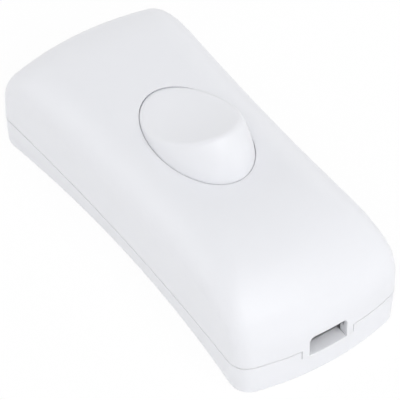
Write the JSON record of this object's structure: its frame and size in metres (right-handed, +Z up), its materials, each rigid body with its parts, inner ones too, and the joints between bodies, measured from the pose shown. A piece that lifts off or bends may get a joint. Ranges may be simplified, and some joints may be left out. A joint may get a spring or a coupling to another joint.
{
  "type": "inline cord switch",
  "caption": "White inline cord switch: a waisted two-shell housing with an elliptical dished rocker on top and a slot for a flat cord in each end.",
  "frame": {"origin": "centre of the underside, on the surface that the switch lies on", "axes": "+X along the switch towards the end where the rocker stands raised at rest, +Z up, +Y across"},
  "size_m": [0.0728, 0.0314, 0.0278],
  "materials": {
    "housing_plastic": "satin",
    "rocker_plastic": "satin",
    "inner_plastic": "satin",
    "brass": "stamped",
    "contact_silver": "satin",
    "steel": "zinc plated",
    "spring_steel": "drawn wire"
  },
  "bodies": {
    "housing": {"base": "housing_plastic", "top_cover": "housing_plastic", "cord_clamp_near": "inner_plastic", "cord_clamp_far": "inner_plastic", "terminal_screws": "steel", "clamp_screws": "steel", "housing_screws": "steel", "pivot_terminal_left": "brass", "fixed_terminal_left": "brass", "fixed_contact_left": "contact_silver", "pivot_terminal_right": "brass", "fixed_terminal_right": "brass", "fixed_contact_right": "contact_silver"},
    "rocker": {"rocker": "rocker_plastic", "rocker_spring_left": "spring_steel", "rocker_spring_right": "spring_steel"},
    "plunger_left": {"plunger_left": "inner_plastic"},
    "lever_left": {"contact_lever_left": "brass", "moving_contact_left": "contact_silver"},
    "plunger_right": {"plunger_right": "inner_plastic"},
    "lever_right": {"contact_lever_right": "brass", "moving_contact_right": "contact_silver"}
  },
  "joints": [
    {"name": "rocker_tilt", "type": "hinge", "parent": "housing", "child": "rocker", "pos_m": [0, 0, 0.0186], "axis": [0, 1, 0], "range_deg": [0, 40]},
    {"name": "plunger_slide_left", "type": "slide", "parent": "rocker", "child": "plunger_left", "axis": [0.342, 0, -0.9397], "range_m": [0, 0.0004], "stiffness_N_per_m": 300, "deforming": ["rocker_spring_left"]},
    {"name": "lever_tilt_left", "type": "hinge", "parent": "housing", "child": "lever_left", "pos_m": [0, -0.0046, 0.00825], "axis": [0, 1, 0], "range_deg": [-20, 0]},
    {"name": "plunger_slide_right", "type": "slide", "parent": "rocker", "child": "plunger_right", "axis": [0.342, 0, -0.9397], "range_m": [0, 0.0004], "stiffness_N_per_m": 300, "deforming": ["rocker_spring_right"]},
    {"name": "lever_tilt_right", "type": "hinge", "parent": "housing", "child": "lever_right", "pos_m": [0, 0.0046, 0.00825], "axis": [0, 1, 0], "range_deg": [-20, 0]}
  ],
  "couplings": [
    {"joint": "lever_tilt_left", "follows": "rocker_tilt", "ratio": -0.5},
    {"joint": "lever_tilt_right", "follows": "rocker_tilt", "ratio": -0.5}
  ]
}
